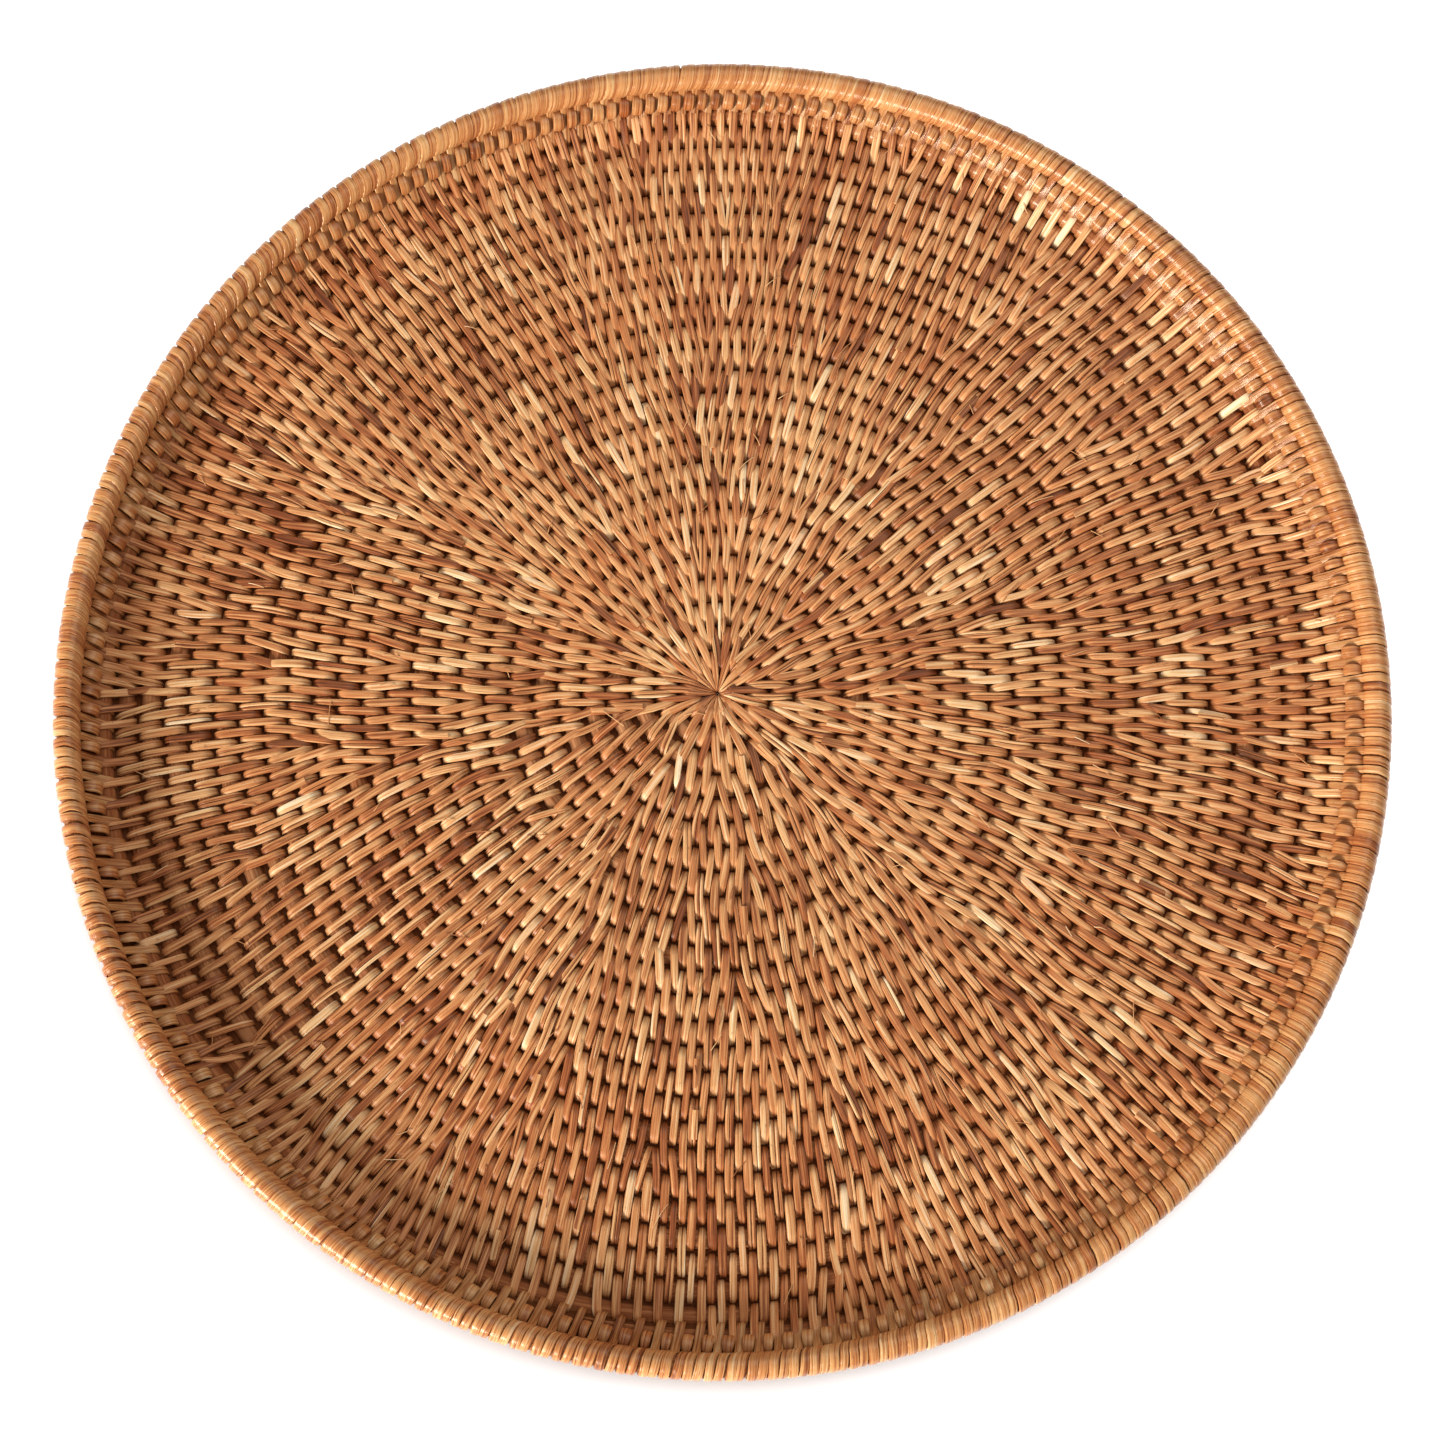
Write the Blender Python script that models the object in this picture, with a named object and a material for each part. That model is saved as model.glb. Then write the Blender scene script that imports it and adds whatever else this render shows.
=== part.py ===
"""Coiled rattan winnowing tray: a foundation cane wound in a flat spiral, turned up at the edge
into a low wall, laced lap to lap with flat strips and finished with a bound rim hoop.

Metres, +Z up. The origin is on the surface that the tray rests on, under the centre of the rim.
"""
import math

import bmesh
import bpy
from mathutils import Vector

# Driving dimensions -------------------------------------------------------------------------
PITCH = 0.00941             # one lap of the coil to the next
CANE_RADIUS = 0.0036        # foundation cane
COVER = 0.0046              # cane centre to the outer face of the lacing
FLOOR_LAPS = 25             # laps that lie flat
CORNER_RADIUS = 0.2350      # circle where the floor turns up into the wall
RIM_RADIUS = 0.2483         # circle of the rim hoop's centre
RIM_HEIGHT = 0.0175         # rim hoop's centre above the floor canes' centres
HOOP_RADIUS = 0.0045        # bare rim hoop
BINDING_RADIUS = 0.0057     # hoop with its binding
BINDING_BORE = 0.00515      # inside of the binding
WALL_OUT = 0.0030           # wall cane's centre beyond the corner circle
WALL_UP = 0.0049            # wall cane's centre above the floor canes' centres

HOLE_RADIUS = 0.0006        # hole at the exact centre
SEAM = math.radians(214)    # direction where each lap passes into the next
CLIMB = 0.2                 # part of a lap in which the coil shifts out by one lap
START = 0.55                # laps from the exact centre to the first cane's cut end
CANE_COUNT = 6              # canes that make up the whole coil
BINDING_COUNT = 11          # strips that bind the rim
STEPS = 22                  # stations in a lap
FIT = 0.0003                # gap that touching pieces keep

# Worked out from them
Z_FLOOR = COVER                                         # floor canes' centre height
LAPS = FLOOR_LAPS + 1 - CLIMB                           # cut end of the last cane
BENT_ROW = FLOOR_LAPS - 2                               # first row that the climb bends
ROW_START = 0.5 / STEPS                                 # rows meet half way between stations
OFFSET = PITCH / math.pi                                # spiral centre to rim centre
CENTRE = Vector((math.sin(SEAM), -math.cos(SEAM), 0)) * OFFSET

# Lacing section across the groove between two laps: waist, shoulder, flange
WAIST = 0.00065
SHOULDER = 0.0026
FLANGE = 0.0044
WAIST_TURN = 0.36           # part of the turn from straight across to the crown

# Rim binding section: the web from the hoop to the wall cane, the cup round the cane's outer
# side, and the knots on the web's inner side as (along the web from the cane, off its line)
WEB_FRONT = 0.0001
WEB_BACK = -0.0016
CUP_BORE = 0.0041
CUP_LIP = 4                 # degrees that the cup stops short of the crown
SLIT = -104                 # degrees round the hoop where the binding parts behind the web
KNOT_CORNERS = [(0.00495, 0.0004), (0.0102, 0.0004), (0.0112, 0.0032), (0.0106, 0.0038),
                (0.0042, 0.0038), (0.0037, 0.0034)]

FLOOR_COLOUR = (0.46, 0.21, 0.075)
WALL_COLOUR = (0.40, 0.17, 0.06)
RIM_COLOUR = (0.55, 0.29, 0.12)
CANE_COLOUR = (0.36, 0.16, 0.06)


# The coil's layout --------------------------------------------------------------------------
def smooth(x):
    """Ease from 0 to 1 as x goes from 0 to 1."""
    x = min(max(x, 0.0), 1.0)
    return x * x * (3 - 2 * x)


def direction(turn):
    """Horizontal unit vector at this part of a lap. Laps wind outward clockwise."""
    angle = SEAM - 2 * math.pi * turn
    return Vector((math.cos(angle), math.sin(angle), 0))


def reach(turn, radius):
    """Distance from the spiral's centre to a circle about the rim's centre."""
    along = CENTRE.dot(direction(turn))
    return math.sqrt(radius ** 2 - CENTRE.length_squared + along ** 2) - along


def corner_lap(turn):
    """Lap count at which the floor ends. It grows with the spiral and drops back at the seam."""
    turn %= 1
    if turn <= 1 - CLIMB:
        return FLOOR_LAPS - 0.5 + turn
    return FLOOR_LAPS - 0.5 + (1 - CLIMB) * (1 - smooth((turn - 1 + CLIMB) / CLIMB))


def section_point(lap, turn):
    """Distance out and height of the coil's centre line at this lap count.

    The lap after the floor's last one climbs onto the wall, and the one after that would be
    the rim hoop.
    """
    corner = corner_lap(turn)
    edge = reach(turn, CORNER_RADIUS)
    on_floor = min(lap, corner - 0.5)
    stretch = edge / (PITCH * corner) - 1
    out = PITCH * on_floor * (1 + stretch * (on_floor / corner) ** 3)
    rise = min(lap - on_floor, 1)
    out += (edge + WALL_OUT - out) * rise
    up = WALL_UP * rise ** 2 * (2 - rise)
    above = min(max(lap - corner - 0.5, 0), 1)
    out += (reach(turn, RIM_RADIUS) - out) * above
    up += (RIM_HEIGHT - up) * above
    return out, Z_FLOOR + up


def coil_point(lap, turn=None):
    """Point on the coil. A lap count alone gives the cane; half a lap more is the groove."""
    turn = lap % 1 if turn is None else turn
    out, height = section_point(lap, turn)
    return CENTRE + direction(turn) * out + Vector((0, 0, height))


def hoop_point(turn):
    """Point on the rim hoop's centre line, at the coil's own stations."""
    out = reach(turn, RIM_RADIUS)
    return CENTRE + direction(turn) * out + Vector((0, 0, Z_FLOOR + RIM_HEIGHT))


# Building ------------------------------------------------------------------------------------
def clear_scene():
    for obj in list(bpy.data.objects):
        bpy.data.objects.remove(obj, do_unlink=True)


def new_collection(name):
    collection = bpy.data.collections.new(name)
    bpy.context.scene.collection.children.link(collection)
    return collection


def finish(obj, collection, colour, roughness=0.5):
    """Put the object in its collection with a material of its own."""
    material = bpy.data.materials.new(obj.name)
    material.use_nodes = True
    shader = material.node_tree.nodes["Principled BSDF"]
    shader.inputs["Base Color"].default_value = (*colour, 1)
    shader.inputs["Roughness"].default_value = roughness
    shader.inputs["Metallic"].default_value = 0
    obj.data.materials.append(material)
    collection.objects.link(obj)
    return obj


def poly_curve(name, points, cyclic=False):
    """Curve through the points, held upright so that a bevel section keeps its attitude."""
    curve = bpy.data.curves.new(name, "CURVE")
    curve.dimensions = "3D"
    curve.twist_mode = "Z_UP"
    curve.use_fill_caps = not cyclic
    spline = curve.splines.new("POLY")
    spline.points.add(len(points) - 1)
    for place, point in zip(spline.points, points):
        place.co = (*point, 1)
    spline.use_cyclic_u = cyclic
    return bpy.data.objects.new(name, curve)


def tube(name, points, radius, collection, colour, cyclic=False):
    obj = poly_curve(name, points, cyclic)
    obj.data.bevel_depth = radius
    obj.data.bevel_resolution = 1
    return finish(obj, collection, colour)


def swept(name, points, profile, collection, colour):
    obj = poly_curve(name, points)
    obj.data.bevel_mode = "OBJECT"
    obj.data.bevel_object = profile
    return finish(obj, collection, colour)


def section_object(name, outline, guides):
    """Closed 2D outline (out, up) that a curve is swept with. It isn't a part itself.

    Laps run clockwise, so a swept curve's own x axis points in, and the outline is mirrored.
    """
    curve = bpy.data.curves.new(name, "CURVE")
    curve.dimensions = "2D"
    curve.fill_mode = "NONE"
    spline = curve.splines.new("POLY")
    spline.points.add(len(outline) - 1)
    for place, (out, up) in zip(spline.points, outline):
        place.co = (-out, up, 0, 1)
    spline.use_cyclic_u = True
    obj = bpy.data.objects.new(name, curve)
    obj.hide_render = True
    obj.display_type = "WIRE"
    guides.objects.link(obj)
    return obj


def loft(name, sections, collection, colour):
    """Solid through a row of sections, each a list of the same number of points."""
    mesh = bmesh.new()
    rings = [[mesh.verts.new(point) for point in section] for section in sections]
    count = len(rings[0])
    for here, there in zip(rings, rings[1:]):
        for i in range(count):
            j = (i + 1) % count
            mesh.faces.new((here[i], here[j], there[j], there[i]))
    mesh.faces.new(reversed(rings[0]))
    mesh.faces.new(rings[-1])
    mesh.normal_update()
    bmesh.ops.triangulate(mesh, faces=mesh.faces)
    bmesh.ops.recalc_face_normals(mesh, faces=mesh.faces)
    data = bpy.data.meshes.new(name)
    mesh.to_mesh(data)
    mesh.free()
    return finish(bpy.data.objects.new(name, data), collection, colour)


def polar(centre, radius, degrees):
    """Point of a section at this angle about a centre, both as (out, up)."""
    angle = math.radians(degrees)
    return (centre[0] + radius * math.cos(angle), centre[1] + radius * math.sin(angle))


def bearing(here, there):
    return math.degrees(math.atan2(there[1] - here[1], there[0] - here[0]))


def samples(place, first, last):
    """Point lists that place() gives at every station, and at both ends.

    An end between two stations lies on the straight run that joins them, so that the next
    piece, which starts on the same run, meets it square.
    """
    def on_run(lap):
        low = math.floor(lap * STEPS)
        ends = place(low / STEPS), place((low + 1) / STEPS)
        return [a.lerp(b, lap * STEPS - low) for a, b in zip(*ends)]

    inner = range(math.floor(first * STEPS) + 1, math.ceil(last * STEPS))
    return [on_run(first)] + [place(i / STEPS) for i in inner] + [on_run(last)]


def path(place, first, last):
    """The same for a single line of points."""
    return [point for (point,) in samples(lambda lap: [place(lap)], first, last)]


# Foundation canes -----------------------------------------------------------------------------
def build_canes(parts):
    """One coil cut into canes of about equal length, each butted against the next."""
    cuts = [LAPS * math.sqrt(i / CANE_COUNT) for i in range(CANE_COUNT)]
    cuts = [START] + [(math.floor(cut * STEPS) + 0.5) / STEPS for cut in cuts[1:]]
    for number, (first, last) in enumerate(zip(cuts, cuts[1:] + [LAPS]), 1):
        points = path(coil_point, first, last - FIT / (2 * math.pi * PITCH * last))
        tube(f"foundation_cane_{number}", points, CANE_RADIUS, parts, CANE_COLOUR)


# Lacing ---------------------------------------------------------------------------------------
def lacing_outline():
    """Hourglass that fills the groove between two laps and covers half of each."""
    upper = [(-FLANGE, COVER), (-WAIST, SHOULDER), (-WAIST, -SHOULDER), (-FLANGE, -COVER)]
    return upper + [(-out, up) for out, up in reversed(upper)]


def cane_edge(cane, other, beyond):
    """Edge of a lacing section round one cane: crown, waist, waist, crown."""
    across = bearing(cane, other)
    spread = (bearing(cane, beyond) - across) % 360
    waist_radius = math.hypot(PITCH / 2 - WAIST, SHOULDER)
    trim = math.degrees((PITCH / 2 - FLANGE) / COVER)
    points = []
    for half in ((spread - 360) / 2, spread / 2):
        crown = polar(cane, COVER, across + half - math.copysign(trim, half))
        waist = polar(cane, waist_radius, across + half * WAIST_TURN)
        points += [crown, waist] if half < 0 else [waist, crown]
    return points


def bent_outline(before, inner, outer, after):
    """The same hourglass between canes that don't lie level: it ends on each cane's crown."""
    return cane_edge(outer, inner, after) + cane_edge(inner, outer, before)


def build_first_round(parts):
    """Stitches of the first lap, which run from the centre hole over the first cane."""
    def section(lap):
        crown = PITCH * lap - 3 * FIT
        waist = PITCH * (lap - 0.5) + WAIST - 2 * FIT
        outline = [(HOLE_RADIUS, COVER), (crown, COVER), (waist, SHOULDER),
                   (waist, -SHOULDER), (crown, -COVER), (HOLE_RADIUS, -COVER)]
        return [CENTRE + direction(lap) * out + Vector((0, 0, Z_FLOOR + up))
                for out, up in outline]

    sections = samples(section, START + 0.05, 1 - 1 / STEPS)
    loft("first_round_lacing", sections, parts, FLOOR_COLOUR)


def row_end(row):
    """Lap part where a row of lacing ends, just short of the next row's start."""
    return 1 + ROW_START - 2 * FIT / (2 * math.pi * PITCH * row)


def build_floor_lacing(parts, guides):
    outline = section_object("lacing_section", lacing_outline(), guides)
    for row in range(1, BENT_ROW):
        points = path(lambda turn: coil_point(row - 0.5 + turn, turn),
                      ROW_START, row_end(row))
        swept(f"lacing_row_{row:02d}", points, outline, parts, FLOOR_COLOUR)


def bent_section(row, turn):
    """Section of a row of lacing near the wall, where the canes don't lie level."""
    canes = [section_point(row + i + turn, turn) for i in (-2, -1, 0, 1)]
    return [CENTRE + direction(turn) * out + Vector((0, 0, up))
            for out, up in bent_outline(*canes)]


def build_wall_lacing(parts):
    """The last two floor rows, which climb at the seam, and the row that joins the wall on."""
    for row in range(BENT_ROW, FLOOR_LAPS + 1):
        last = 1 - CLIMB if row == FLOOR_LAPS else row_end(row)
        sections = samples(lambda turn: bent_section(row, turn), ROW_START, last)
        loft(f"lacing_row_{row:02d}", sections, parts, WALL_COLOUR)


# Rim ------------------------------------------------------------------------------------------
def rim_frame():
    """Wall cane and hoop centres as (out, up) from the hoop, and the unit axes between them."""
    wall = (CORNER_RADIUS + WALL_OUT - RIM_RADIUS, WALL_UP - RIM_HEIGHT)
    length = math.hypot(*wall)
    along = (-wall[0] / length, -wall[1] / length)
    inward = (-along[1], along[0])
    return wall, along, inward


def binding_outline():
    """Binding round the hoop, a web down to the wall cane and a cup round its outer side."""
    wall, along, inward = rim_frame()
    hoop = (0.0, 0.0)
    slope = math.degrees(math.atan2(along[1], along[0]))
    crown = (180 + math.degrees(math.atan2(WALL_UP, WALL_OUT + PITCH / 2)) + slope) / 2

    def web(centre, radius, offset, sign):
        t = sign * math.sqrt(radius ** 2 - offset ** 2)
        return (centre[0] + along[0] * t + inward[0] * offset,
                centre[1] + along[1] * t + inward[1] * offset)

    cup_front = [polar(wall, COVER, a) for a in (crown - CUP_LIP, crown - 28, crown - 55)]
    shell = [polar(hoop, BINDING_RADIUS, a) for a in (*range(200, -81, -40), SLIT)]
    bore = [polar(hoop, BINDING_BORE, a) for a in (SLIT, *range(-60, 221, 40))]
    cup_back = [polar(wall, COVER, a) for a in (15, -17, crown - 180 + CUP_LIP)]
    around = (180 - 2 * CUP_LIP) / 5
    cup_inner = [polar(wall, CUP_BORE, crown - 180 + CUP_LIP + i * around) for i in range(6)]
    outline = (cup_front + [web(wall, COVER, WEB_FRONT, 1)]
               + [web(hoop, BINDING_RADIUS, WEB_FRONT, -1)] + shell + bore
               + [web(hoop, BINDING_BORE, WEB_BACK, -1)]
               + [web(wall, COVER, WEB_BACK, 1)] + cup_back + cup_inner)
    return outline[::-1]


def knot_outline():
    """Row of knots on the inner side of the web, from just above the wall cane to the hoop."""
    wall, along, inward = rim_frame()
    return [(wall[0] + along[0] * t + inward[0] * n, wall[1] + along[1] * t + inward[1] * n)
            for t, n in KNOT_CORNERS]


def build_rim(parts, guides):
    ring = [hoop_point(i / STEPS) for i in range(STEPS)]
    tube("rim_hoop", ring, HOOP_RADIUS, parts, CANE_COLOUR, cyclic=True)
    binding = section_object("binding_section", binding_outline(), guides)
    knots = section_object("knot_section", knot_outline(), guides)
    gap = FIT / (2 * math.pi * RIM_RADIUS)
    for number in range(BINDING_COUNT):
        first = number / BINDING_COUNT + ROW_START
        points = path(hoop_point, first, first + 1 / BINDING_COUNT - gap)
        swept(f"rim_binding_{number + 1}", points, binding, parts, RIM_COLOUR)
        swept(f"knot_row_{number + 1}", points, knots, parts, RIM_COLOUR)


def main():
    clear_scene()
    parts = new_collection("winnowing_tray")
    guides = new_collection("guides")
    build_canes(parts)
    build_first_round(parts)
    build_floor_lacing(parts, guides)
    build_wall_lacing(parts)
    build_rim(parts, guides)


main()
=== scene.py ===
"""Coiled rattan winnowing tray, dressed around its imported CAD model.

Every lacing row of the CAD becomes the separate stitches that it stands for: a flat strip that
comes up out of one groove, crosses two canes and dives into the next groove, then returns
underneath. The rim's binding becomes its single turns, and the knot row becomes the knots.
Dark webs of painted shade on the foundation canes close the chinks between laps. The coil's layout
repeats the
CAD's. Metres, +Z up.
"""
import math

import bpy
import numpy as np
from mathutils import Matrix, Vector


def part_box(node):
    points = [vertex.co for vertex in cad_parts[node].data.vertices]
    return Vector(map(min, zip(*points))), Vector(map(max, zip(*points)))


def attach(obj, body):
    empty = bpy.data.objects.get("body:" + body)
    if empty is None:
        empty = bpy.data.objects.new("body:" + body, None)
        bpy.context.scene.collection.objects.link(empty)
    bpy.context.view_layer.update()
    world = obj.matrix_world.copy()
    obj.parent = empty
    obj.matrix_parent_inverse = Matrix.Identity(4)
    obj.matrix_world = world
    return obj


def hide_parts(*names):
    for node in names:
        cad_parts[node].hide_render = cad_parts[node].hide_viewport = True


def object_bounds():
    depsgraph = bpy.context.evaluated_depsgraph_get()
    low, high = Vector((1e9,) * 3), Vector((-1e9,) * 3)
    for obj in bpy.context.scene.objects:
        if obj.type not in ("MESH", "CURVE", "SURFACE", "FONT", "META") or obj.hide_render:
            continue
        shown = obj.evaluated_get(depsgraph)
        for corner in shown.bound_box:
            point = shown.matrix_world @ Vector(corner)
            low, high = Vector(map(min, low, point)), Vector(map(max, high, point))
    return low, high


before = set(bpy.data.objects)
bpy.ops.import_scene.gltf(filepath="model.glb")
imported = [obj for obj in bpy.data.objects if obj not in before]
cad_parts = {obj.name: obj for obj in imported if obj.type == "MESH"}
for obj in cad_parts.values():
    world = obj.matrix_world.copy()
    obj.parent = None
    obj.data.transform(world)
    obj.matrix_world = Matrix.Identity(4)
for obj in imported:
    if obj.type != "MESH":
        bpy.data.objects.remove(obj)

cad_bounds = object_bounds()

# The coil, as in the CAD ----------------------------------------------------------------------
PITCH = 0.00941             # one lap of the coil to the next
FLOOR_LAPS = 25             # laps that lie flat
CORNER_RADIUS = 0.2350      # circle where the floor turns up into the wall
WALL_OUT = 0.0030           # wall cane's centre beyond the corner circle
WALL_UP = 0.0049            # wall cane's centre above the floor canes' centres
SEAM = math.radians(214)    # direction where each lap passes into the next
CLIMB = 0.2                 # part of a lap in which the coil shifts out by one lap
START = 0.55                # laps from the exact centre to the first cane's end
CANE_COUNT = 6              # canes that make up the whole coil

FLOOR_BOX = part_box("lacing_row_13")
HOOP_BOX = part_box("rim_hoop")
COVER = FLOOR_BOX[1][2] / 2                             # cane centre to the lacing's outer face
HOOP_RADIUS = (HOOP_BOX[1][2] - HOOP_BOX[0][2]) / 2
RIM_HEIGHT = (HOOP_BOX[1][2] + HOOP_BOX[0][2]) / 2 - COVER
BINDING_RADIUS = cad_bounds[1][2] - COVER - RIM_HEIGHT  # hoop with its binding
RIM_RADIUS = (cad_bounds[1][0] - cad_bounds[0][0]) / 2 - BINDING_RADIUS
CENTRE = np.array((math.sin(SEAM), -math.cos(SEAM), 0)) * PITCH / math.pi
RIM_PIECES = 11             # lengths that the CAD cuts the binding and the knots into
ROW_START = 0.5 / 22        # part of a lap where the CAD's rows and rim pieces start

# Rattan ---------------------------------------------------------------------------------------
CANE_RADIUS = 0.00355
STRIP_WIDTH = 0.00305
STRIP_THICKNESS = 0.00090
STRIP_GAP = 0.00008         # between a strip and the cane that it goes round
WRAP_RADIUS = CANE_RADIUS + STRIP_THICKNESS / 2 + STRIP_GAP     # strip's middle round a cane
STAR_COUNT = 16             # stitches round the centre hole
FIRST_STITCH = START + 0.01     # laps from the exact centre to the star's first stitch
# Distance from stitch to stitch along a row, at these distances from the centre
SPACING_AT = (0.009, 0.019, 0.028, 0.122, 0.235)
SPACING = (0.0037, 0.0047, 0.0053, 0.0059, 0.0066)
LAST_STITCH = 0.86          # part of the wall lap where its own lacing ends
SEAM_GAP = 0.002            # part of a lap between that end and the floor's stitches beyond it
SHARED_OFF = 0.13           # stitches that share a gap dive this part of a gap off its middle
SHARED_SPOTS = (0.15, 0.85)     # where a shared gap lies in its equal part of the row
ROW_ROUNDS = 14             # times that a row's stitches push each other apart

rng = np.random.default_rng(26)


# The coil's layout ----------------------------------------------------------------------------
def smooth(x):
    """Ease from 0 to 1 as x goes from 0 to 1."""
    x = np.clip(x, 0, 1)
    return x * x * (3 - 2 * x)


def direction(turn):
    """Horizontal unit vector at this part of a lap. Laps wind outward clockwise."""
    angle = SEAM - 2 * np.pi * np.asarray(turn)
    return np.stack((np.cos(angle), np.sin(angle), np.zeros_like(angle)), axis=-1)


def reach(turn, radius):
    """Distance from the spiral's centre to a circle about the rim's centre."""
    along = direction(turn) @ CENTRE
    return np.sqrt(radius ** 2 - CENTRE @ CENTRE + along ** 2) - along


def corner_lap(turn):
    """Lap count at which the floor ends. It grows with the spiral and drops back at the seam."""
    turn = np.asarray(turn) % 1
    falling = (1 - CLIMB) * (1 - smooth((turn - 1 + CLIMB) / CLIMB))
    return FLOOR_LAPS - 0.5 + np.where(turn <= 1 - CLIMB, turn, falling)


def section_point(lap, turn):
    """Distance out from the spiral's centre and height of the coil's centre line."""
    corner = corner_lap(turn)
    edge = reach(turn, CORNER_RADIUS)
    on_floor = np.minimum(lap, corner - 0.5)
    stretch = edge / (PITCH * corner) - 1
    out = PITCH * on_floor * (1 + stretch * (on_floor / corner) ** 3)
    rise = np.minimum(lap - on_floor, 1)
    out = out + (edge + WALL_OUT - out) * rise
    up = WALL_UP * rise ** 2 * (2 - rise)
    above = np.clip(lap - corner - 0.5, 0, 1)
    out = out + (reach(turn, RIM_RADIUS) - out) * above
    up = up + (RIM_HEIGHT - up) * above
    return np.stack((out, COVER + up), axis=-1)


def place(turn, section):
    """World points of section points (out, up) at these parts of a lap."""
    points = CENTRE + direction(turn) * section[..., :1]
    points[..., 2] = section[..., 1]
    return points


def bearing(here, there):
    """Angle of the line from one section point to another, from straight out towards up."""
    return np.arctan2(there[..., 1] - here[..., 1], there[..., 0] - here[..., 0])


# Where the stitches go ------------------------------------------------------------------------
def relaxed(turns, before, rounds):
    """Even the turns out, as stitches push each other along the row."""
    for _ in range(rounds):
        after = 2 * turns[-1] - turns[-2]
        padded = np.concatenate(([before], turns, [after]))
        turns = turns / 2 + (padded[:-2] + padded[2:]) / 4
    return turns


def with_ends(row, rows):
    """The row's crossings, with the row inside's last one before them and one more after."""
    gap = np.diff(rows[row]).mean()
    first = rows[row - 1][-1] - 1 if row > 0 else rows[row][0] - gap
    return np.concatenate(([first], rows[row], [rows[row][-1] + gap]))


def lay_out_rows():
    """Turns at which each row's stitches cross their groove, and at which their inner ends dive.

    A stitch dives half way between two crossings of the row inside it. Where a row needs more
    stitches than the one inside it has gaps, two stitches share a gap and spread in a V.
    """
    rows = [np.arange(FIRST_STITCH, 1, 1 / STAR_COUNT), (np.arange(STAR_COUNT) + 0.5) / STAR_COUNT]
    dives = [rows[0].copy(), rows[1].copy()]
    for row in range(2, FLOOR_LAPS + 1):
        inside = with_ends(row - 1, rows)
        gaps = (inside[:-1] + inside[1:]) / 2
        gaps = gaps[(gaps >= 0) & (gaps < 1)]
        radius = PITCH * row
        wanted = round(2 * math.pi * radius / np.interp(radius, SPACING_AT, SPACING))
        extra = max(wanted - len(gaps), 0)
        spots = (np.arange(extra) + rng.uniform(*SHARED_SPOTS, extra)) / max(extra, 1)
        shared = np.unique((spots * len(gaps)).astype(int))
        half = SHARED_OFF / len(gaps)
        single = np.delete(gaps, shared)
        ends = np.sort(np.concatenate((single, gaps[shared] - half, gaps[shared] + half)))
        dives.append(ends)
        rows.append(relaxed(ends, rows[row - 1][-1] - 1, ROW_ROUNDS))
    return rows, dives


def gap_beside(turns, row):
    """Middle of the gap between the two crossings of the row nearest to each turn."""
    after = np.clip(np.searchsorted(row, turns), 1, len(row) - 1)
    return (row[after - 1] + row[after]) / 2


def lay_out_rim(rows):
    """Turns at which the rim's long wraps dive inside the wall cane, all round."""
    wall = rows[FLOOR_LAPS][rows[FLOOR_LAPS] < LAST_STITCH]
    floor = rows[FLOOR_LAPS - 1][rows[FLOOR_LAPS - 1] >= LAST_STITCH + SEAM_GAP]
    ring = np.concatenate((wall, floor))
    return (ring + np.append(ring[1:], ring[0] + 1)) / 2


# Strips ---------------------------------------------------------------------------------------
# Half a strip's section as (across, up), as parts of its half width and half thickness
LENS = np.array(((1, -0.3), (0.86, 0.72), (0.45, 1), (-0.45, 1), (-0.86, 0.72), (-1, -0.3),
                 (-0.8, -1), (0.8, -1)))
SHARP = math.radians(38)    # edges bent by more than this stay crisp
SPLIT_SHARE = 0.16          # part of the stitches whose strip has split along its length
SLIVER_OFF = 0.52           # from the strip's middle to a sliver's, as a part of its half width
SLIVER_SHARE = (0.36, 0.50)     # one sliver's part of the strip's width, least and most
SLIVERS_SHARE = 0.96        # both slivers' part of the strip's width
SEEDS = 10                  # range of the number that gives each strip its own grain


def unit(vectors):
    return vectors / np.linalg.norm(vectors, axis=-1, keepdims=True)


def strips(centre, away, half_width, half_thickness, look, outline=LENS):
    """Strips swept along centre lines (strip, station, xyz), with their face towards away."""
    tangent = unit(np.gradient(centre, axis=1))
    side = unit(np.cross(tangent, away))
    lift = np.cross(side, tangent)
    across = half_width[..., None] * outline[:, 0]
    up = half_thickness[..., None] * outline[:, 1]
    points = (centre[:, :, None] + side[:, :, None] * across[..., None]
              + lift[:, :, None] * up[..., None])
    steps = np.linalg.norm(np.diff(centre, axis=1), axis=-1)
    along = np.pad(np.cumsum(steps, axis=1), ((0, 0), (1, 0)))
    seed = rng.uniform(0, SEEDS, len(centre))
    grain = np.stack(np.broadcast_arrays(along[..., None], across, seed[:, None, None]), axis=-1)
    looks = np.broadcast_to(look[:, :, None], points.shape)
    return points, grain, looks


def split(centre, away, half_width, chosen):
    """Centre lines, directions and half widths where the chosen strips are two slivers each."""
    side = unit(np.cross(unit(np.gradient(centre, axis=1)), away))
    apart = side * (half_width * SLIVER_OFF)[..., None]
    slivers = np.concatenate((centre[chosen] + apart[chosen], centre[chosen] - apart[chosen]))
    count = chosen.sum()
    share = rng.uniform(*SLIVER_SHARE, (count, 1))
    narrow = np.concatenate((half_width[chosen] * share,
                             half_width[chosen] * (SLIVERS_SHARE - share)))
    return (np.concatenate((centre[~chosen], slivers)),
            np.concatenate((away[~chosen], away[chosen], away[chosen])),
            np.concatenate((half_width[~chosen], narrow)))


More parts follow.
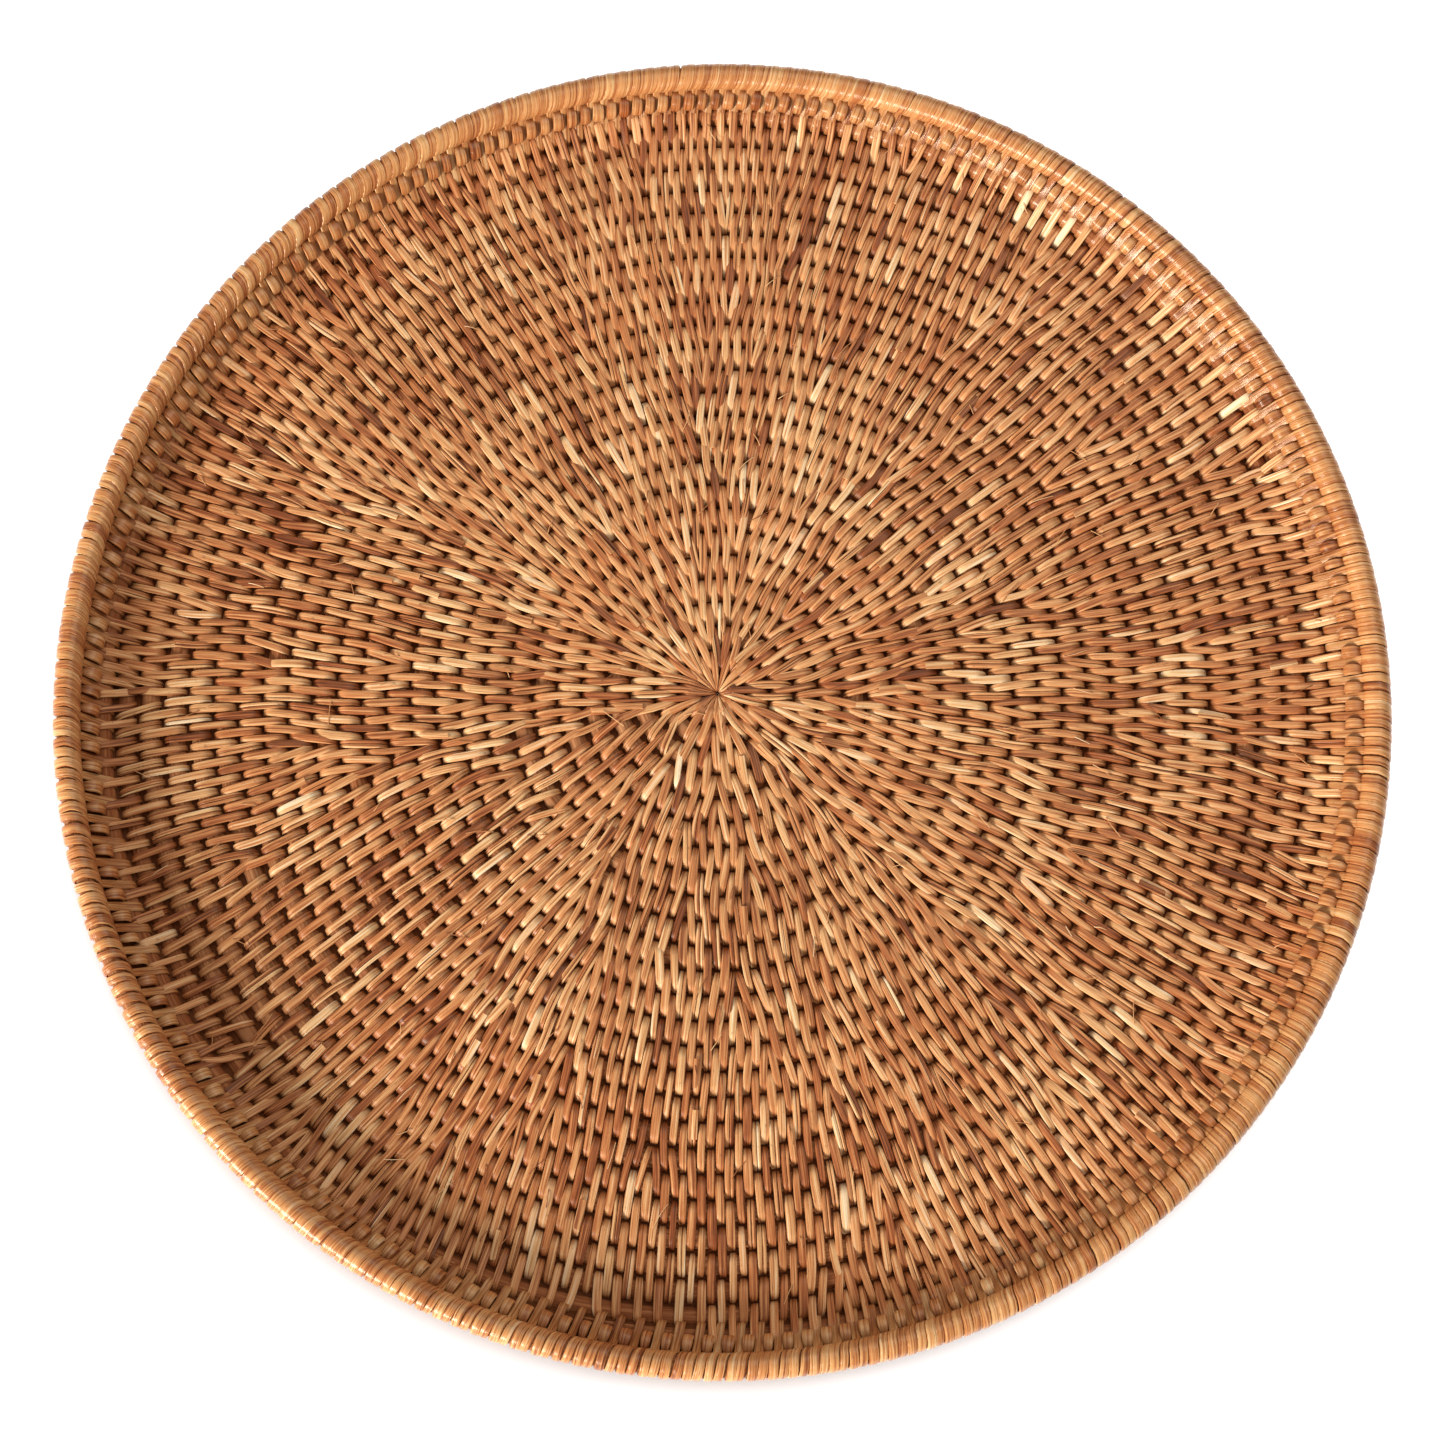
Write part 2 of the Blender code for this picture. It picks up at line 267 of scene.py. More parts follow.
def ring_faces(count, stations, corners):
    """Quads of swept strips, closed at both ends."""
    ring = np.arange(corners)
    nxt = (ring + 1) % corners
    start = np.arange(stations - 1)[:, None] * corners
    walls = np.stack((start + ring, start + corners + ring, start + corners + nxt, start + nxt),
                     axis=-1).reshape(-1, 4)
    low = np.array([(i, i + 1, corners - 2 - i, corners - 1 - i)
                    for i in range(corners // 2 - 1)])
    high = low[:, ::-1] + (stations - 1) * corners
    one = np.concatenate((walls, low, high))
    return (np.arange(count)[:, None, None] * stations * corners + one).reshape(-1, 4)


def build_piece(name, blocks, material, slot, *nodes):
    """One mesh object of blocks of strips, riding on the tray and standing for the CAD nodes."""
    points, grains, looks, faces = [], [], [], []
    first = 0
    for block, grain, look in blocks:
        count, stations, corners, _ = block.shape
        faces.append(ring_faces(count, stations, corners) + first)
        first += count * stations * corners
        points.append(block.reshape(-1, 3))
        grains.append(grain.reshape(-1, 3))
        looks.append(look.reshape(-1, 3))
    points, faces = np.concatenate(points), np.concatenate(faces)
    mesh = bpy.data.meshes.new(name)
    mesh.vertices.add(len(points))
    mesh.vertices.foreach_set("co", points.astype(np.float32).ravel())
    mesh.loops.add(faces.size)
    mesh.loops.foreach_set("vertex_index", faces.astype(np.int32).ravel())
    mesh.polygons.add(len(faces))
    mesh.polygons.foreach_set("loop_start", np.arange(0, faces.size, 4, dtype=np.int32))
    mesh.polygons.foreach_set("use_smooth", np.ones(len(faces), dtype=bool))
    mesh.update(calc_edges=True)
    mesh.set_sharp_from_angle(angle=SHARP)
    for label, values in (("grain", grains), ("look", looks)):
        layer = mesh.attributes.new(label, "FLOAT_VECTOR", "POINT")
        layer.data.foreach_set("vector", np.concatenate(values).astype(np.float32).ravel())
    mesh.materials.append(material)
    piece = bpy.data.objects.new(name, mesh)
    bpy.context.scene.collection.objects.link(piece)
    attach(piece, "root")
    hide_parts(*nodes)
    return piece


# Colour of each strip -------------------------------------------------------------------------
TONE = 0.54                 # usual tone, where 0 is the darkest rattan and 1 the palest
STRIP_RUN = (12, 55)        # successive stitches made with one strip, from, and up to short of
RUN_SPREAD = 0.06           # of the tone from strip to strip
STITCH_SPREAD = 0.13        # of the tone from stitch to stitch
DARK_BELOW = 0.06           # this part of the stitches is stained
DARKER = 0.34
PALE_ABOVE = 0.95           # the stitches beyond this part are paler
PALER = 0.14
RED_SPREAD = 0.2            # of the redness from stitch to stitch


def tones(count, redness, spread):
    """Tone and redness of successive stitches: long runs from one strip, and small changes."""
    tone, red = np.empty(count), np.empty(count)
    at = 0
    while at < count:
        run = rng.integers(*STRIP_RUN)
        tone[at:at + run] = rng.normal(TONE, RUN_SPREAD)
        red[at:at + run] = rng.uniform(0, 1)
        at += run
    tone += rng.normal(0, STITCH_SPREAD, count)
    odd = rng.random(count)
    tone[odd < DARK_BELOW] -= DARKER
    tone[odd > PALE_ABOVE] += PALER
    red += rng.normal(0, RED_SPREAD, count)
    return np.clip(TONE + (tone - TONE) * spread, 0, 1), np.clip(red * redness, 0, 1)


def looks_of(count, depth, redness=1.0, spread=1.0):
    """Tone, redness and depth in the groove for strips with this depth at their stations."""
    tone, red = tones(count, redness, spread)
    return np.stack(np.broadcast_arrays(tone[:, None], red[:, None], depth), axis=-1)


# Lacing ---------------------------------------------------------------------------------------
# How far round a cane each station lies, over the top and underneath
ROUND_TOP = (0, 0.2, 0.4, 0.6, 0.8, 1)
ROUND_UNDER = (0.25, 0.5, 0.75, 1)
LOOSE = 0.00035             # most that a strip stands off its canes on the upper side
OUTER_SHARE = 0.75          # how far a stitch's outer end follows the gap, not its own slant
END_SHIFT = 0.00030         # spread of where a stitch's ends lie along the row
CROSSING_SHIFT = 0.00022    # the same for its middle
STRAIGHT = 0.65             # how far a stitch's middle is pulled in line with its ends
ROOM_ROWS = (1, 3, 5)
ROOM = (0.93, 0.62, 0.56)   # a strip's most width in those rows, as a part of the spacing
WIDTH_SPREAD = 0.10         # of the strips' widths
WIDTH_LIMITS = (0.74, 1.18)
PINCH = 0.14                # how much narrower a strip is down in a groove
STUB_SHARE = 0.018          # part of the stitches with the end of a spliced strip on them
STUB_STATIONS = slice(4, 9)     # the stitch's stations that the end lies over
STUB_HALF_WIDTH = (0.0009, 0.0014)
STUB_LIFT = (0.0001, 0.0009)    # over the stitch's own middle, from one end to the other
STUB_SLANT = 0.0016         # most that its tip lies to one side
STUB_REDNESS = 0.3
HAIR_SHARE = 0.05           # part of the stitches that have a fibre standing off
HAIR_STATIONS = (6, 9)      # stations that a hair starts at and points towards
HAIR_HALF_WIDTH = 0.00016
HAIR_LENGTH = (0.0040, 0.0105)
HAIR_STRAY = 0.0030         # spread of the point that a hair heads for
HAIR_BOW = 0.0012           # spread of how far its tip bends to one side
HAIR_LIFT = 0.0006          # of its ends over the stitch's middle
HAIR_RISE = 0.0007          # of its middle over its ends
HAIR_REDNESS = 0.2
STAR_REACH = 0.0036         # where a stitch of the star leaves the level, from the centre
STAR_BEND = 0.0027          # radius at which it bends down into the centre hole


def stitch_stations():
    """Stations of a stitch that runs from its outer groove over the top and back underneath.

    Columns are: share of the inner cane in the centre of bend, parts of the bearings towards the
    next cane out and in, half turns added, and progress (0 outer groove, 1 inner, 2 outer again).
    """
    table = [(0, 1 - t, 0, 0, 0.25 * (1 - math.cos(t * math.pi / 2))) for t in ROUND_TOP]
    table += [(t, 0, 0, 0, 0.25 + 0.5 * t) for t in (1 / 3, 2 / 3)]
    table += [(1, 0, t, 0, 0.75 + 0.25 * math.sin(t * math.pi / 2)) for t in ROUND_TOP]
    table += [(1, 0, 1 - t, t, 1 + 0.25 * (1 - math.cos(t * math.pi / 2))) for t in ROUND_UNDER]
    table += [(0.5, 0, 0, 1, 1.5)]
    table += [(0, t, 0, 1 + t, 1.75 + 0.25 * math.sin(t * math.pi / 2)) for t in (0, *ROUND_UNDER)]
    return np.array(table).T


def stitch_path(row, outer_turn, cross_turn, dive_turn, return_turn):
    """Centre lines, outward directions and depth in the groove of a row's stitches."""
    share, after_part, before_part, halves, progress = stitch_stations()
    marks = np.stack((outer_turn, cross_turn, dive_turn, return_turn), axis=1)
    turns = np.array([np.interp(progress, (0, 0.5, 1, 2), mark) for mark in marks])
    inner = section_point(row - 1 + turns, turns)
    outer = section_point(row + turns, turns)
    before = section_point(row - 2 + turns, turns)
    after = section_point(row + 1 + turns, turns)
    in_star = row - 1 + turns < START
    inner[in_star] = (STAR_REACH, COVER)
    before[in_star] = (0, COVER)
    normal = bearing(inner, outer) + np.pi / 2
    to_after = -((normal - bearing(outer, after)) % (2 * np.pi))
    to_before = (bearing(inner, before) - normal) % (2 * np.pi)
    angle = normal + after_part * to_after + before_part * to_before + halves * np.pi
    loose = rng.uniform(0, LOOSE, (len(marks), 1))
    out = np.stack((np.cos(angle), np.sin(angle)), axis=-1)
    bend = WRAP_RADIUS + loose * np.maximum(out[..., 1], 0)
    bend = bend + (STAR_BEND - WRAP_RADIUS) * in_star * share
    section = outer + (inner - outer) * share[:, None] + out * bend[..., None]
    away = direction(turns) * out[..., :1]
    away[..., 2] = out[..., 1]
    depth = np.broadcast_to(after_part + before_part, turns.shape)
    return place(turns, section), away, depth


def build_lacing_row(row, rows, dives, rim_dives, material):
    """The row's stitches, each from its outer end over the top and back underneath."""
    crossing, dive = rows[row], dives[row]
    outside = with_ends(row + 1, rows) if row < FLOOR_LAPS else rim_dives
    if row == FLOOR_LAPS:
        laced = crossing < LAST_STITCH
        crossing, dive = crossing[laced], dive[laced]
    gap = np.diff(crossing).mean()
    outer = (OUTER_SHARE * gap_beside(crossing, outside)
             + (1 - OUTER_SHARE) * (2 * crossing - dive))
    returns = np.append(outer[1:], outer[-1] + gap)
    lap_length = 2 * math.pi * PITCH * max(row, 1)
    crossing = crossing + rng.normal(0, CROSSING_SHIFT / lap_length, len(crossing))
    dive = dive + rng.normal(0, END_SHIFT / lap_length, len(crossing))
    outer = outer + rng.normal(0, END_SHIFT / lap_length, len(crossing))
    crossing = (1 - STRAIGHT) * crossing + STRAIGHT * (outer + dive) / 2
    centre, away, depth = stitch_path(row, outer, crossing, dive, returns)
    radius = np.linalg.norm(centre[..., :2] - CENTRE[:2], axis=-1)
    room = 2 * np.pi * radius * gap * np.interp(row, ROOM_ROWS, ROOM)
    spread = np.clip(rng.normal(1, WIDTH_SPREAD, (len(centre), 1)), *WIDTH_LIMITS)
    half = np.minimum(STRIP_WIDTH * spread, room) / 2 * (1 - PINCH * depth ** 2)
    chosen = rng.random(len(centre)) < SPLIT_SHARE
    centre, away, half = split(centre, away, half, chosen)
    thick = np.full(half.shape, STRIP_THICKNESS / 2)
    block = strips(centre, away, half, thick, looks_of(len(centre), depth[0]))
    ends = loose_ends(centre, away, rng.random(len(centre)) < STUB_SHARE)
    hairs = loose_hairs(centre, away, rng.random(len(centre)) < HAIR_SHARE)
    slot = "wall_lacing" if row >= FLOOR_LAPS - 2 else "floor_lacing"
    node = f"lacing_row_{row:02d}" if row else "first_round_lacing"
    return build_piece(f"row_{row:02d}_stitches", [block, ends, hairs], material, slot, node)


def loose_ends(centre, away, chosen):
    """Blunt ends of spliced strips, each lying slantwise over the chosen stitches."""
    middle, up = centre[chosen][:, STUB_STATIONS], away[chosen][:, STUB_STATIONS]
    count, stations, _ = middle.shape
    side = unit(np.cross(unit(np.gradient(middle, axis=1)), up))
    slant = rng.uniform(-STUB_SLANT, STUB_SLANT, (count, 1, 1))
    slant = slant * np.linspace(0.4, 1, stations)[:, None]
    middle = middle + up * np.linspace(*STUB_LIFT, stations)[:, None] + side * slant
    half = np.broadcast_to(rng.uniform(*STUB_HALF_WIDTH, (count, 1)), (count, stations))
    thick = np.full(half.shape, STRIP_THICKNESS * 0.4)
    look = looks_of(count, np.zeros((1, stations)), STUB_REDNESS)
    return strips(middle, up, half, thick, look)


def loose_hairs(centre, away, chosen):
    """Thin fibres that have come off the chosen stitches and stand a little over the floor."""
    low, high = HAIR_STATIONS
    start, up = centre[chosen][:, low], away[chosen][:, low]
    heading = centre[chosen][:, high] - start + rng.normal(0, HAIR_STRAY, start.shape) * (1, 1, 0)
    length = rng.uniform(*HAIR_LENGTH, (len(start), 1))
    part = np.linspace(0, 1, 7)[:, None]
    bow = unit(np.cross(heading, up)) * rng.normal(0, HAIR_BOW, (len(start), 1))
    middle = (start + up * HAIR_LIFT)[:, None] + (unit(heading) * length)[:, None] * part
    middle = middle + bow[:, None] * part ** 2 + up[:, None] * HAIR_RISE * np.sin(np.pi * part)
    half = np.full(middle.shape[:2], HAIR_HALF_WIDTH)
    directions = np.broadcast_to(up[:, None], middle.shape)
    look = looks_of(len(start), np.zeros((1, len(part))), HAIR_REDNESS)
    return strips(middle, directions, half, half, look)


# Foundation canes -----------------------------------------------------------------------------
STEPS_PER_LAP = 150
CANE_CORNERS = 18
RIDGE = 0.02                # height of the cane's ribs, as a part of its radius
CANE_SECTION = np.array([((1 + RIDGE * (-1) ** i) * math.cos(-2 * math.pi * i / CANE_CORNERS),
                          (1 + RIDGE * (-1) ** i) * math.sin(-2 * math.pi * i / CANE_CORNERS))
                         for i in range(CANE_CORNERS)])
BUTT_GAP = 0.0003           # part of a lap between two canes
TAPER = 0.14                # part of a lap over which the last cane thins out
THIN_END = 0.3              # part of the radius that is left at its end
WEB_SHORT = 0.0022          # how far short of a lap's centre the web to the next lap stops
WEB_HALF_THICKNESS = 0.0005


def held_laps(laps):
    """Lap counts of the coil, with the last cane's thin end held at the wall's height."""
    turn = laps % 1
    return np.where((laps > FLOOR_LAPS) & (turn > 1 - CLIMB), corner_lap(turn) + 0.5, laps)


def build_canes(material):
    """The coil's canes, butted end to end, with a long taper where the last one ends.

    A thin web, dark all over with painted shade, joins each lap to the next one out, and the wall's
    lap to the hoop. It stands in for the shade where real canes and strips press closely together,
    and keeps the light out.
    """
    last = FLOOR_LAPS + 1 - CLIMB + TAPER
    pieces = []
    cuts = [START] + [last * math.sqrt(i / CANE_COUNT) for i in range(1, CANE_COUNT)] + [last]
    for number, (low, high) in enumerate(zip(cuts, cuts[1:]), 1):
        laps = np.linspace(low, high - BUTT_GAP, round((high - low) * STEPS_PER_LAP))
        turn = laps % 1
        section = section_point(held_laps(laps), turn)
        outside = section_point(held_laps(laps) + 1, turn)
        centre = place(turn, section)
        radius = CANE_RADIUS * np.clip((last - laps) / TAPER, THIN_END, 1)
        up = np.broadcast_to((0.0, 0.0, 1.0), centre.shape)
        cane = strips(centre[None], up[None], radius[None], radius[None],
                      looks_of(1, np.zeros((1, len(laps)))), CANE_SECTION)
        slope = bearing(section, outside)
        normal = direction(turn) * -np.sin(slope)[:, None]
        normal[:, 2] = np.cos(slope)
        between = place(turn, (section + outside) / 2)
        half = np.linalg.norm(outside - section, axis=-1)[None] / 2 - WEB_SHORT
        thick = np.full((1, len(laps)), WEB_HALF_THICKNESS)
        # Painted shade: the web lies at full depth all along, so it takes the darkest groove shade
        web = strips(between[None], normal[None], half, thick,
                     looks_of(1, np.ones((1, len(laps)))))
        pieces.append(build_piece(f"cane_{number}", [cane, web], material,
                                  "foundation_cane", f"foundation_cane_{number}"))
    return pieces


# Rim ------------------------------------------------------------------------------------------
WRAP_WIDTH = 0.00350
WRAP_SPREAD = 0.05          # of the wraps' widths
WRAP_SHIFT = 0.00016        # spread of where the wraps lie along the rim
HOOP_WRAP = (HOOP_RADIUS + BINDING_RADIUS) / 2          # strip's middle round the hoop
SHORT_INSET = 0.00012       # how much closer to the hoop the short wraps lie
EVEN_ROUNDS = 60            # times that the wraps push each other apart

# Angles here start from the line that runs from the wall cane's centre to the hoop's
HOOP_TOP = math.radians(39)     # bearing of the hoop's top
CANE_SIDE = math.radians(50)    # where a long wrap meets and leaves the wall cane
LONG_ENDS = (142, -142)     # degrees round the hoop where a long wrap comes on and goes off
SHORT_ENDS = (196, -164)    # degrees round the hoop where a short wrap starts and ends
HOOP_STATIONS = 15
CROSSING = 0.46             # part of the way to the hoop where it passes from cane to hoop
CROSSING_HEIGHT = 0.0029    # of the strip's middle over the line, there

# How far a wrap leans round the rim on its way down inside
LEAN = 0.009
LEAN_TOWARDS = math.radians(165)    # direction of the side where the wraps lean most
LEAST_LEAN = 0.12           # part of it that is left on the opposite side
LEAN_ON_HOOP = 0.55         # part of it reached at this angle round the hoop, on the inside
LEAN_ANGLE = 2.48
LEAN_POWER = 1.7
MOST_ON_HOOP = 0.62         # part of it at a short wrap's hidden end
LEAN_AT_CROSSING = 0.66
LEAN_AT_CANE = 0.78         # it goes on to the whole lean as the wrap dives inside the cane
WAY_BACK = 4.6              # radians round the hoop that would take a wrap all the way back
BACK_AT_CROSSING = 0.8
BACK_AT_CANE = 0.85
SHORT_BACK = 0.6            # part of it that a short wrap's way back leads to

KNOT = (0.0032, 0.0122)     # ends of a knot, from the wall cane's centre towards the hoop
KNOT_FOOT = 0.0004          # height of its ends over the line between the centres
KNOT_HEIGHT = 0.0050        # of its middle over its ends
KNOT_ROUNDNESS = 0.6        # a smaller power makes it boxier
KNOT_LEAN = (0.80, 0.28)    # part of the lean at its lower end, and how much less at its upper
KNOT_WIDTH = 0.0041
KNOT_WIDTH_SPREAD = 0.08
KNOT_HALF_THICKNESS = 0.00055
# Width, and depth in the grooves that sets the painted shade, at each station along a knot,
# from the wall cane to the hoop
KNOT_SWELL = np.array((0.6, 0.84, 0.96, 1, 1, 1, 1, 0.96, 0.84, 0.6))
KNOT_SHADE_DEPTH = np.array(((1, 0.75, 0.58, 0.50, 0.45, 0.45, 0.50, 0.60, 0.80, 1),))

# Redness of the wraps, and how far their tones and the knots' spread, against the lacing's
WRAP_REDNESS = 0.45
WRAP_TONES = 0.6
KNOT_TONES = 0.7


def rim_frame(turn):
    """Wall cane and hoop centres, and the bearing from the one to the other.

    The last value is the angle at the wall cane from there to the next cane in.
    """
    wall = section_point(corner_lap(turn) + 0.5, turn)
    hoop = np.stack((reach(turn, RIM_RADIUS), np.full(turn.shape, COVER + RIM_HEIGHT)), axis=-1)
    inside = section_point(corner_lap(turn) - 0.5, turn)
    slope = bearing(wall, hoop)
    return wall, hoop, slope, (bearing(wall, inside) - slope) % (2 * np.pi)


def lean(turn):
    """How far a wrap leans at this part of the rim."""
    angle = SEAM - 2 * np.pi * turn
    near = 0.5 + 0.5 * np.cos(angle - LEAN_TOWARDS)
    return LEAN * (LEAST_LEAN + (1 - LEAST_LEAN) * near)


def hoop_lean(angle):
    """Part of the lean reached at this angle round the hoop. It starts at the hoop's top."""
    inside = max((angle - HOOP_TOP) / (LEAN_ANGLE - HOOP_TOP), 0)
    return min(LEAN_ON_HOOP * inside ** LEAN_POWER, MOST_ON_HOOP)


def wrap_stations(long):
    """Stations of a wrap, from its hidden end inside, over the hoop and back underneath.

    Columns are: centre of bend from wall cane (0) to hoop (1), bearing as parts of the way to the
    next cane in and as an angle, radius, part of the lean, and part of the way back.
    """
    table = []
    if long:
        table += [(0, t, CANE_SIDE * (1 - t), WRAP_RADIUS, LEAN_AT_CANE + (1 - LEAN_AT_CANE) * t, 0)
                  for t in (1, 0.75, 0.5, 0.25, 0)]
        table += [(CROSSING, 0, math.pi / 2, CROSSING_HEIGHT, LEAN_AT_CROSSING, 0)]
    radius = HOOP_WRAP if long else HOOP_WRAP - SHORT_INSET
    for degrees in np.linspace(*(LONG_ENDS if long else SHORT_ENDS), HOOP_STATIONS):
        angle = math.radians(degrees)
        back = max(HOOP_TOP - angle, 0) / WAY_BACK
        table += [(1, 0, angle, radius, hoop_lean(angle), back)]
    if long:
        table += [(CROSSING, 0, -math.pi / 2, CROSSING_HEIGHT, 0, BACK_AT_CROSSING)]
        table += [(0, t, -CANE_SIDE * (1 - t) - 2 * math.pi * t, WRAP_RADIUS, 0,
                   BACK_AT_CANE + (1 - BACK_AT_CANE) * t) for t in (0, 0.25, 0.5, 0.75, 1)]
    return np.array(table).T


def wrap_path(tops, pitch, long):
    """Centre lines and outward directions of wraps whose tops sit at these turns."""
    base, inside_part, angle, radius, leaning, back = wrap_stations(long)
    round_rim = 2 * math.pi * RIM_RADIUS
    full = lean(tops)[:, None]
    made_up = full if long else SHORT_BACK * full
    shift = leaning * full + back * (made_up - pitch * round_rim)
    turns = tops[:, None] - shift / round_rim
    wall, hoop, slope, inside = rim_frame(turns)
    bend = slope + inside_part * inside + angle
    out = np.stack((np.cos(bend), np.sin(bend)), axis=-1)
    section = wall + (hoop - wall) * base[:, None] + out * radius[:, None]
    away = direction(turns) * out[..., :1]
    away[..., 2] = out[..., 1]
    return place(turns, section), away


def knot_path(tops):
    """Centre lines and outward directions of the knots, one under the front of each short wrap."""
    part = np.linspace(0, 1, len(KNOT_SWELL))
    full = lean(tops)[:, None]
    leaning = KNOT_LEAN[0] - KNOT_LEAN[1] * part
    turns = tops[:, None] - full * leaning / (2 * math.pi * RIM_RADIUS)
    wall, hoop, slope, _ = rim_frame(turns)
    along = np.stack((np.cos(slope), np.sin(slope)), axis=-1)
    inward = np.stack((-along[..., 1], along[..., 0]), axis=-1)
    far = (KNOT[0] + (KNOT[1] - KNOT[0]) * part)[:, None]
    high = (KNOT_FOOT + KNOT_HEIGHT * np.sin(np.pi * part) ** KNOT_ROUNDNESS)[:, None]
    section = wall + along * far + inward * high
    away = direction(turns) * inward[..., :1]
    away[..., 2] = inward[..., 1]
    return place(turns, section), away


def build_rim(rim_dives, material):
    """Long and short wraps in turn, a knot below each short one, in the CAD's eleven lengths."""
    round_rim = 2 * math.pi * RIM_RADIUS
    tops = evened(rim_dives, EVEN_ROUNDS)
    tops = tops + lean(tops) / round_rim
    after = np.append(tops[1:], tops[0] + 1)
    shorts = (tops + after) / 2
    pitch = 1 / len(tops)
    pieces = []
    for number in range(RIM_PIECES):
        here = (np.floor((tops - ROW_START) * RIM_PIECES) % RIM_PIECES) == number
        blocks = []
        for turns, long in ((tops[here], True), (shorts[here], False)):
            turns = turns + rng.normal(0, WRAP_SHIFT / round_rim, len(turns))
            centre, away = wrap_path(turns, pitch, long)
            half = WRAP_WIDTH * rng.normal(1, WRAP_SPREAD, (len(centre), 1)) / 2
            half = np.broadcast_to(half, centre.shape[:2])
            thick = np.full(half.shape, STRIP_THICKNESS / 2)
            depth = wrap_shade_depth(centre.shape[1], long)
            look = looks_of(len(centre), depth, WRAP_REDNESS, WRAP_TONES)
            blocks.append(strips(centre, away, half, thick, look))
        pieces.append(build_piece(f"rim_wraps_{number + 1}", blocks, material, "rim_binding",
                                  f"rim_binding_{number + 1}"))
        centre, away = knot_path(shorts[here])
        half = KNOT_WIDTH / 2 * KNOT_SWELL * rng.normal(1, KNOT_WIDTH_SPREAD, (len(centre), 1))
        thick = np.full(half.shape, KNOT_HALF_THICKNESS)
        knots = strips(centre, away, half, thick, looks_of(len(centre), KNOT_SHADE_DEPTH, 1, KNOT_TONES))
        pieces.append(build_piece(f"rim_knots_{number + 1}", [knots], material, "rim_knots",
                                  f"knot_row_{number + 1}"))
    return pieces


def wrap_shade_depth(stations, long):
    """Depth in the grooves, which sets the painted shade, at each station along a wrap."""
    row = np.zeros((1, stations))
    if long:
        row[0, :8] = (1, 0.80, 0.64, 0.58, 0.62, 0.62, 0.50, 0.30)
        row[0, -6:] = (0.5, 0.4, 0.3, 0.3, 0.7, 1)
    else:
        row[0, :4] = (1, 0.8, 0.5, 0.2)
    return row


def evened(turns, rounds):
    """Even the turns out round the whole ring."""
    for _ in range(rounds):
        before = np.insert(turns[:-1], 0, turns[-1] - 1)
        after = np.append(turns[1:], turns[0] + 1)
        turns = turns / 2 + (before + after) / 4
    return turns


def build_rim_core(material):
    """The hoop under the wraps, with its two ends butted."""
    turns = -np.arange(0, 361) / 360
    section = np.stack((reach(turns, RIM_RADIUS), np.full(361, COVER + RIM_HEIGHT)), axis=-1)
    centre = place(turns, section)[None]
    up = np.broadcast_to((0.0, 0.0, 1.0), centre.shape)
    radius = np.full((1, 361), HOOP_RADIUS)
    look = looks_of(1, np.zeros((1, 361)))
    block = strips(centre, up, radius, radius, look, CANE_SECTION)
    return build_piece("rim_core", [block], material, "rim_hoop", "rim_hoop")


# Rattan's colour and surface ------------------------------------------------------------------
class Nodes:
    """Short calls that add and link shader nodes."""

    def __init__(self, material):
        self.tree = material.node_tree

    def add(self, kind, **settings):
        node = self.tree.nodes.new(kind)
        for name, value in settings.items():
            setattr(node, name, value)
        return node

    def link(self, source, target):
        self.tree.links.new(source, target)

    def math(self, operation, *values):
        node = self.add("ShaderNodeMath", operation=operation)
        for socket, value in zip(node.inputs, values):
            self.feed(socket, value)
        return node.outputs[0]

    def feed(self, socket, value):
        if isinstance(value, bpy.types.NodeSocket):
            self.link(value, socket)
        else:
            socket.default_value = value

    def mix(self, share, first, second, blend="MIX"):
        node = self.add("ShaderNodeMix", data_type="RGBA", blend_type=blend)
        self.feed(node.inputs["Factor"], share)
        self.feed(node.inputs["A"], first)
        self.feed(node.inputs["B"], second)
        return node.outputs["Result"]

    def ramp(self, value, stops):
        """Colour ramp. A new one has two elements already."""
        node = self.add("ShaderNodeValToRGB")
        elements = node.color_ramp.elements
        for _ in stops[2:]:
            elements.new(0.5)
        for element, (position, colour) in zip(elements, stops):
            element.position = position
            element.color = (*colour, 1)
        self.link(value, node.inputs[0])
        return node.outputs[0]

    def noise(self, vector, scale, detail, roughness=0.5):
        node = self.add("ShaderNodeTexNoise")
        node.inputs["Scale"].default_value = scale
        node.inputs["Detail"].default_value = detail
        node.inputs["Roughness"].default_value = roughness
        self.link(vector, node.inputs["Vector"])
        return node.outputs["Fac"]

    def stretched(self, vector, scale):
        node = self.add("ShaderNodeVectorMath", operation="MULTIPLY")
        self.link(vector, node.inputs[0])
        node.inputs[1].default_value = scale
        return node.outputs[0]


# Noise cycles per metre along and across a strip, and per step of its seed
FIBRE = (90, 3200, 7)
STREAK = (40, 1400, 7)
SPECK = (500, 900, 7)
PATCH = 14                  # cycles per metre over the whole tray

# Weights that sum up to a place on the ramp of tones
TONE_WEIGHT = 0.62
STREAK_WEIGHT = 1.10
FIBRE_WEIGHT = 0.50
PATCH_WEIGHT = 0.12
TONE_START = -0.64

RED_TINT = (0.88, 0.56, 0.40, 1)
RED_SHARE = 0.55            # of the tint on the reddest strips
SPOT_COLOUR = (0.16, 0.06, 0.025, 1)
SPOT_EDGE = ((0.66, (0, 0, 0)), (0.74, (1, 1, 1)))
SPOT_SHARE = 0.40
# Painted shade in the grooves: its colour, how it grows with depth, and its largest share
GROOVE_SHADE_COLOUR = (0.090, 0.018, 0.002, 1)
GROOVE_SHADE_POWER = 2.6           # a larger power keeps the painted shade deeper in the grooves
GROOVE_SHADE_SHARE = 0.85
ROUGHNESS_RANGE = 0.30      # from the smoothest fibres to the roughest
WAX_TINT = (1.0, 0.86, 0.66, 1)
BUMP_STRENGTH = 0.55
BUMP_DEPTH = 0.00025
STREAK_BUMP = 0.9           # height of the streaks against the fibres


